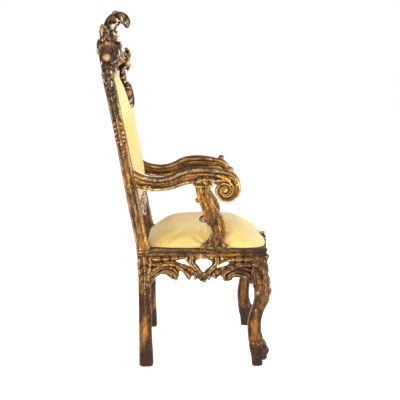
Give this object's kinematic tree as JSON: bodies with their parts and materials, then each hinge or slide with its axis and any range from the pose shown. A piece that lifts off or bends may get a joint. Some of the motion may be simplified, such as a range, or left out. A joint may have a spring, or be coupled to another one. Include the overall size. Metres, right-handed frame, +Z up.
{
  "type": "throne",
  "caption": "High-back ceremonial armchair in carved giltwood, with scrolled arms, pierced aprons, cabriole front legs, a crest that curls forward and a stuffed seat and back.",
  "frame": {"origin": "on the floor, in the middle of the whole part's width and depth", "axes": "+Z up, the front faces -Y, +X to the sitter's left"},
  "size_m": [0.643, 0.6688, 1.3733],
  "materials": {
    "giltwood": "carved wood, aged and worn water gilding over red bole",
    "upholstery": "cream velvet"
  },
  "bodies": {
    "root": {"front_seat_rail": "giltwood", "rear_seat_rail": "giltwood", "crest_rail": "giltwood", "lower_back_rail": "giltwood", "right_back_post": "giltwood", "left_back_post": "giltwood", "right_side_seat_rail": "giltwood", "left_side_seat_rail": "giltwood", "right_front_leg": "giltwood", "left_front_leg": "giltwood", "right_arm": "giltwood", "left_arm": "giltwood", "right_arm_support": "giltwood", "left_arm_support": "giltwood", "seat_cushion": "upholstery", "back_panel": "upholstery"}
  },
  "joints": []
}
